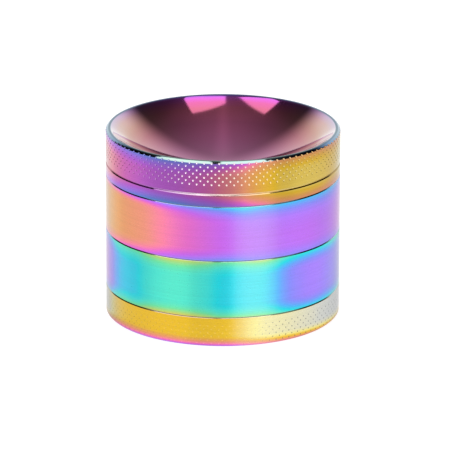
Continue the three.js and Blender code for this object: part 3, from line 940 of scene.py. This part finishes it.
def screen_chamber():
    turned = Turned()
    spigot(turned, BASE_SEAM, SPIGOT_BORE)
    turned.outline(lower_edge(BASE_SEAM + SEAM_GAP / 2) + upper_edge(SCREEN_SEAM - SEAM_GAP / 2))
    socket(turned, SCREEN_SEAM, SCREEN_BORE)
    turned.outline([
        (SCREEN_BORE, LEDGE_TOP + SCREEN_BORE - LEDGE_RADIUS),
        (LEDGE_RADIUS, LEDGE_TOP),
        (LEDGE_RADIUS, LEDGE_SEAT),
        (SPIGOT_BORE, LEDGE_SEAT),
        (SPIGOT_BORE, SNAP_GROOVE_HIGH),
        (SNAP_GROOVE_RADIUS, SNAP_GROOVE_HIGH),
        (SNAP_GROOVE_RADIUS, SNAP_GROOVE_LOW),
        (SPIGOT_BORE, SNAP_GROOVE_LOW),
    ])
    return turned.piece("screen_chamber_body")


def tooth_chamber():
    turned = Turned()
    collar_top = top("tooth_chamber")
    turned.outline([(0, PLATE_BOTTOM)])
    turned.outline([(CHAMBER_BORE - BOSS_EDGE, PLATE_BOTTOM), (CHAMBER_BORE, PLATE_BOTTOM - BOSS_EDGE)])
    spigot(turned, SCREEN_SEAM, CHAMBER_BORE)
    shoulder = LID_SEAM - SEAM_GAP / 2
    turned.outline(lower_edge(SCREEN_SEAM + SEAM_GAP / 2) + upper_edge(shoulder))
    turned.outline([
        (COLLAR_RADIUS, shoulder),
        (COLLAR_RADIUS, collar_top - COLLAR_EDGE),
        (COLLAR_RADIUS - COLLAR_EDGE, collar_top),
        (CHAMBER_BORE + COLLAR_EDGE, collar_top),
        (CHAMBER_BORE, collar_top - COLLAR_EDGE),
        (CHAMBER_BORE, PLATE_TOP + PLATE_CORNER),
        (CHAMBER_BORE - PLATE_CORNER, PLATE_TOP),
        (HUB_RADIUS + PLATE_CORNER, PLATE_TOP),
        (HUB_RADIUS, PLATE_TOP + PLATE_CORNER),
        (HUB_RADIUS, CHAMBER_HUB_TOP - BOSS_EDGE),
        (HUB_RADIUS - BOSS_EDGE, CHAMBER_HUB_TOP),
        (MAGNET_POCKET_RADIUS, CHAMBER_HUB_TOP),
        (MAGNET_POCKET_RADIUS, CHAMBER_HUB_TOP - MAGNET_POCKET_DEPTH),
        (0, CHAMBER_HUB_TOP - MAGNET_POCKET_DEPTH),
    ])
    body = turned.piece("tooth_chamber_body")
    tip = LID_UNDERSIDE - TOOTH_CLEARANCE
    plate_teeth = teeth("chamber_teeth", CHAMBER_TOOTH_RINGS, lambda r: PLATE_TOP - TOOTH_BURIED, tip)
    combine(body, plate_teeth, "UNION")
    return combine(body, sieve_holes(), "DIFFERENCE")


def sieve_holes():
    """Drills for the drop holes, each countersunk a little at both ends."""
    drills = []
    for ring_radius, count, hole in SIEVE_RINGS:
        turns = np.arange(SIEVE_HOLE_SIDES) * TAU / SIEVE_HOLE_SIDES
        section = [(hole * math.cos(a), hole * math.sin(a)) for a in turns]
        wide = 1 + COUNTERSINK / hole
        heights = [
            (PLATE_BOTTOM - DRILL_OVERRUN, wide), (PLATE_BOTTOM, wide), (PLATE_BOTTOM + COUNTERSINK, 1),
            (PLATE_TOP - COUNTERSINK, 1), (PLATE_TOP, wide), (PLATE_TOP + DRILL_OVERRUN, wide),
        ]
        drills.append(prisms("sieve_drills", spaced(ring_radius, count, 0.5), section, heights))
    return joined(drills)


def underside(r):
    """The height of the lid's shallow underside at a radius."""
    share = (r - HUB_RADIUS) / (LID_PLUG_RADIUS - HUB_RADIUS)
    return LID_UNDERSIDE + share * (LID_UNDERSIDE_EDGE - LID_UNDERSIDE)


def lid():
    turned = Turned()
    bottom = LID_SEAM + SEAM_GAP / 2
    hub_bottom = low("lid_magnet") - MAGNET_SUNK
    turned.outline([
        (0, hub_bottom + MAGNET_POCKET_DEPTH),
        (MAGNET_POCKET_RADIUS, hub_bottom + MAGNET_POCKET_DEPTH),
        (MAGNET_POCKET_RADIUS, hub_bottom),
        (HUB_RADIUS - BOSS_EDGE, hub_bottom),
        (HUB_RADIUS, hub_bottom + BOSS_EDGE),
        (HUB_RADIUS, LID_UNDERSIDE - PLATE_CORNER),
        (HUB_RADIUS + PLATE_CORNER, underside(HUB_RADIUS + PLATE_CORNER)),
        (LID_PLUG_RADIUS - BOSS_EDGE, underside(LID_PLUG_RADIUS - BOSS_EDGE)),
        (LID_PLUG_RADIUS, LID_UNDERSIDE_EDGE + BOSS_EDGE),
        (LID_PLUG_RADIUS, COLLAR_SLOT_TOP),
        (GLIDE_SLOT_INNER, COLLAR_SLOT_TOP),
        (GLIDE_SLOT_INNER, GLIDE_SLOT_TOP),
        (GLIDE_SLOT_OUTER, GLIDE_SLOT_TOP),
        (GLIDE_SLOT_OUTER, COLLAR_SLOT_TOP),
        (SKIRT_BORE, COLLAR_SLOT_TOP),
        (SKIRT_BORE, bottom + SKIRT_EDGE),
        (SKIRT_BORE + SKIRT_EDGE, bottom),
        *lower_edge(bottom),
        (BODY_RADIUS, GROOVE_HEIGHT - GROOVE_LOWER),
        (BODY_RADIUS - GROOVE_DEPTH, GROOVE_HEIGHT),
        (BODY_RADIUS, GROOVE_HEIGHT + GROOVE_UPPER),
        (BODY_RADIUS, WALL_START),
    ])
    wall = RIM_TOP - RIM_CHAMFER - WALL_START
    diagonal = RIM_CHAMFER * math.sqrt(2)

    def profile(s):
        """Up the wall, and then up the rim's chamfer."""
        if s <= wall:
            return BODY_RADIUS, WALL_START + s
        beyond = (s - wall) / math.sqrt(2)
        return BODY_RADIUS - beyond, RIM_TOP - RIM_CHAMFER + beyond

    rows = [wall - KNURL_ROW * (KNURL_ROWS - 1 - row) for row in range(KNURL_ROWS)]
    turned.knurl(profile, rows + [wall + diagonal * KNURL_END], 1.0, LID_DIMPLE_DEPTH)
    turned.outline([
        (BODY_RADIUS - RIM_CHAMFER - 0.03, RIM_TOP - 0.02),
        (BODY_RADIUS - RIM_CHAMFER - FINE_EDGE, RIM_TOP),
        (RIM_LAND_RADIUS + FINE_EDGE, RIM_TOP),
        (RIM_LAND_RADIUS, RIM_TOP - 0.01),
        (DISH_RADIUS + 0.08, DISH_EDGE + 0.03),
    ])
    depth = DISH_EDGE - DISH_BOTTOM
    sphere = (DISH_RADIUS**2 + depth**2) / (2 * depth)
    half = math.asin(DISH_RADIUS / sphere)
    for angle in np.linspace(half, 0, DISH_RINGS + 1)[:-1]:
        turned.ring(sphere * math.sin(angle), DISH_BOTTOM + sphere * (1 - math.cos(angle)))
    turned.outline([(0, DISH_BOTTOM)])
    body = turned.piece("lid_body")
    tip = PLATE_TOP + TOOTH_CLEARANCE
    lid_teeth = teeth("lid_teeth", LID_TOOTH_RINGS, lambda r: underside(r) + TOOTH_BURIED, tip)
    return combine(body, lid_teeth, "UNION")


def squared(inner, node, cut):
    """The section of a plain ring from its bore to its node's outside, with its corners cut."""
    outer, bottom, upper = radius(node), low(node), top(node)
    return [(inner, bottom, cut), (outer, bottom, cut), (outer, upper, cut), (inner, upper, cut)]


def disc_magnet(node):
    turned = Turned(MAGNET_SEGMENTS)
    _, lower_corner, upper_corner, _ = squared(0, node, MAGNET_EDGE)
    turned.outline([(0, low(node)), lower_corner, upper_corner, (0, top(node))])
    return turned.piece(node + "_body")


def glide_ring():
    turned = Turned(RING_SEGMENTS)
    turned.outline(squared(GLIDE_INNER, "glide_ring", GLIDE_EDGE))
    return turned.piece("glide_ring_body")


def screen_hoop():
    """A ring with a slot in its bore for the screen."""
    slot = [
        (HOOP_INNER, HOOP_SLOT_HIGH, HOOP_EDGE / 2),
        (HOOP_SLOT_RADIUS, HOOP_SLOT_HIGH),
        (HOOP_SLOT_RADIUS, HOOP_SLOT_LOW),
        (HOOP_INNER, HOOP_SLOT_LOW, HOOP_EDGE / 2),
    ]
    turned = Turned(RING_SEGMENTS)
    turned.outline(squared(HOOP_INNER, "screen_hoop", HOOP_EDGE) + slot)
    return turned.piece("screen_hoop_body")


def snap_ring():
    """A flat spring ring, open over a gap at +X."""
    section = softened(squared(SNAP_INNER, "screen_snap_ring", SNAP_EDGE))
    half_gap = math.radians(SNAP_GAP_DEGREES / 2)
    turns = np.linspace(half_gap, TAU - half_gap, SNAP_STEPS + 1)
    points = [(r * math.cos(a), r * math.sin(a), z) for a in turns for r, z in section]
    return piece_of("screen_snap_ring_body", points, tube_faces(0, len(section), len(turns), inward=True))


def screen_cloth():
    """Plain-woven wires, each waving over and under the wires it crosses."""
    cloth_radius = radius("mesh_screen") - CLOTH_INSET
    middle = (low("mesh_screen") + top("mesh_screen")) / 2
    wires = int(cloth_radius / WIRE_PITCH)
    points, faces = [], []
    for across in (False, True):
        for wire in range(-wires, wires + 1):
            aside = wire * WIRE_PITCH
            half = math.sqrt(cloth_radius**2 - aside**2)
            steps = max(WIRE_STEPS, int(WIRE_STEPS * half / WIRE_PITCH))
            faces += tube_faces(len(points), WIRE_SIDES, steps + 1, inward=not across)
            for along in np.linspace(-half, half, steps + 1):
                wave = math.cos(math.pi * (along / WIRE_PITCH + wire + across)) * WIRE_WAVE
                for side in range(WIRE_SIDES):
                    angle = side * TAU / WIRE_SIDES
                    off = aside + WIRE_RADIUS * math.cos(angle)
                    z = middle + wave + WIRE_RADIUS * math.sin(angle)
                    points.append((off, along, z) if across else (along, off, z))
    return piece_of("mesh_screen_cloth", points, faces)


# ---------------- putting the grinder together


def declare(piece, node, body, slot, *materials, rule=None):
    """Gives a piece its materials and its body, and hides the CAD node it stands for. slot is not used.
    rule picks the material's number from a face's distance from the axis, its height and how much it faces
    up."""
    smooth(piece)
    for material in materials:
        piece.data.materials.append(material)
    if rule is not None:
        for face in piece.data.polygons:
            centre = face.center / MM
            face.material_index = rule(math.hypot(centre.x, centre.y), centre.z, face.normal.z)
    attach(piece, body)
    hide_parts(node)


FACING_UP = 0.3  # least upward share of a normal on the lid's dish and rim


def lid_rule(r, z, up):
    """0 for the lid's side and inside, 1 for its dish, and 2 for its rim with the chamfer."""
    if up > FACING_UP and r < DISH_RADIUS and z > DISH_BOTTOM - 0.1:
        return 1
    if up > FACING_UP and z > RIM_TOP - RIM_CHAMFER + 0.02:
        return 2
    return 0


def grinder():
    """Each piece with its CAD node, body and materials."""
    steel, magnet = stainless(), nickel()
    sieve, toothed = "screen_chamber", "tooth_chamber"
    declare(base_cup(), "base_cup", "base", "base_coating", base_side())
    declare(screen_chamber(), sieve, sieve, "screen_chamber_coating", screen_chamber_side())
    declare(screen_hoop(), "screen_hoop", "screen_hoop", "stainless_steel", steel)
    declare(screen_cloth(), "mesh_screen", sieve, "stainless_steel", steel)
    declare(snap_ring(), "screen_snap_ring", sieve, "stainless_steel", steel)
    declare(tooth_chamber(), toothed, toothed, "tooth_chamber_coating", tooth_chamber_side())
    declare(disc_magnet("chamber_magnet"), "chamber_magnet", "chamber_magnet", "magnet_nickel", magnet)
    declare(glide_ring(), "glide_ring", "glide_ring", "nylon", nylon())
    declare(lid(), "lid", "lid", "lid_coating", lid_side(), dish_coating(), rim_coating(), rule=lid_rule)
    declare(disc_magnet("lid_magnet"), "lid_magnet", "lid", "magnet_nickel", magnet)


# ---------------- studio

FLOOR_RADIUS = 6000
FLOOR_RINGS = 8
FLOOR_SEGMENTS = 64
FLOOR_GLOW = 0.82
FRONT_GLOW = 1.2
FRONT_LAMP = 3.5
WINDOW = 1.5
WINDOW_SOFT = 0.012  # how far its edges fade
HORIZON = 1.0


def floor():
    """A disc drawn from its edge inwards, so that it faces up."""
    disc = Turned(FLOOR_SEGMENTS)
    for share in np.linspace(1, 0, FLOOR_RINGS + 1):
        disc.ring(FLOOR_RADIUS * share**2, 0.0)
    made = piece_of("floor", disc.points, disc.faces)
    paint = Finish("floor_paper", Emission_Color=(1, 1, 1, 1), Emission_Strength=FLOOR_GLOW)
    grain = paint.noise(paint.place, 400.0, 3.0)
    colour = paint.ramp(grain, ((0.0, (158, 158, 158)), (1.0, (164, 164, 164))))
    made.data.materials.append(paint.output(Base_Color=colour, Roughness=0.9))


def under_line(sky, slope, height):
    """1 where the direction's y lies under a sloping line of x."""
    line = sky.scaled(sky.x, slope, height)
    return sky.span(sky.math("SUBTRACT", line, sky.y), -WINDOW_SOFT, WINDOW_SOFT)


def between(sky, value, start, end, soft):
    inside = sky.span(value, start - soft, start + soft)
    return sky.times(inside, sky.span(value, end + soft, end - soft))


def box_light(sky, x, y, soft=WINDOW_SOFT):
    """1 where the direction's x and y lie in these spans and it points up."""
    pointing_up = sky.span(sky.z, 0.0, 0.1)
    return sky.times(between(sky, sky.x, *x, soft), between(sky, sky.y, *y, soft), pointing_up)


def left_window(sky):
    box = box_light(sky, (-0.9, -0.11), (-0.36, 0.5))
    return sky.times(under_line(sky, 0.86, 0.60), under_line(sky, -1.9, -0.22), box)


def right_window(sky):
    """It has a wider foot, low over the front."""
    box = box_light(sky, (-0.02, 0.9), (-0.36, 0.5))
    upper = sky.times(under_line(sky, 0.744, 0.132), under_line(sky, -1.99, 0.75), box)
    return sky.math("MAXIMUM", upper, box_light(sky, (0.3, 0.5), (-0.36, -0.08)))


def overhead(sky):
    """The soft light overhead: palest along the middle, dark at both sides and over the front."""
    aside = sky.math("ABSOLUTE", sky.x)
    sideways = ((0.0, 0.44), (0.08, 0.4), (0.2, 0.3), (0.32, 0.18), (0.45, 0.06), (1.0, 0.035))
    backwards = ((0.0, 0.5), (0.15, 0.6), (0.5, 1.0), (1.0, 0.9))
    level = sky.times(sky.curve(aside, sideways), sky.curve(sky.y, backwards))
    strip = sky.span(aside, 0.07, 0.0, 1.0, 1.2)
    return sky.times(level, strip, sky.span(sky.y, -0.1, 0.0, 0.2, 1.0))


def grey(value):
    return (value, value, value, 1)


def studio():
    world = bpy.data.worlds.new("studio")
    bpy.context.scene.world = world
    world.use_nodes = True
    sky = Nodes(world.node_tree, "Generated")
    ceiling = overhead(sky)
    level = sky.vector(ceiling, ceiling, ceiling)
    outward = sky.scaled(sky.math("ABSOLUTE", sky.x), 0.7, sky.y)
    horizon = sky.times(sky.span(outward, 0.88, 1.12), between(sky, sky.x, -0.6, 0.66, 0.04))
    level = sky.mix(horizon, level, grey(HORIZON))
    level = sky.mix(sky.span(sky.z, 0.3, 0.1), level, grey(HORIZON))
    front = sky.times(sky.span(sky.y, -0.05, -0.3), sky.span(sky.z, 0.9, 0.75))
    level = sky.mix(front, level, grey(FRONT_GLOW))
    level = sky.mix(left_window(sky), level, grey(WINDOW))
    level = sky.mix(right_window(sky), level, grey(WINDOW))
    level = sky.mix(box_light(sky, (-0.34, 0.12), (-0.80, -0.42), 0.04), level, grey(FRONT_LAMP))
    background = world.node_tree.nodes["Background"]
    sky.feed(background.inputs["Color"], level)


CAMERA_DISTANCE = 1351 * MM
CAMERA_ELEVATION = math.radians(18.15)
CAMERA_ROLL = math.radians(0.165)
CAMERA_LENS = 399
AIM_HEIGHT = 25.6 * MM
AIM_RIGHT = 0.86 * MM
AIM_DOWN = 2.02 * MM


def camera():
    back = Vector((0, -math.cos(CAMERA_ELEVATION), math.sin(CAMERA_ELEVATION)))
    up = Vector((0, math.sin(CAMERA_ELEVATION), math.cos(CAMERA_ELEVATION)))
    aim = Vector((AIM_RIGHT, 0, AIM_HEIGHT)) - up * AIM_DOWN
    made = bpy.data.objects.new("camera", bpy.data.cameras.new("camera"))
    bpy.context.scene.collection.objects.link(made)
    made.data.lens = CAMERA_LENS
    made.location = aim + back * CAMERA_DISTANCE
    turn = (-back).to_track_quat("-Z", "Y")
    made.rotation_mode = "QUATERNION"
    made.rotation_quaternion = turn @ Quaternion((0, 0, 1), CAMERA_ROLL)
    bpy.context.scene.camera = made


grinder()
floor()
studio()
camera()
bpy.context.scene.view_settings.view_transform = "Standard"
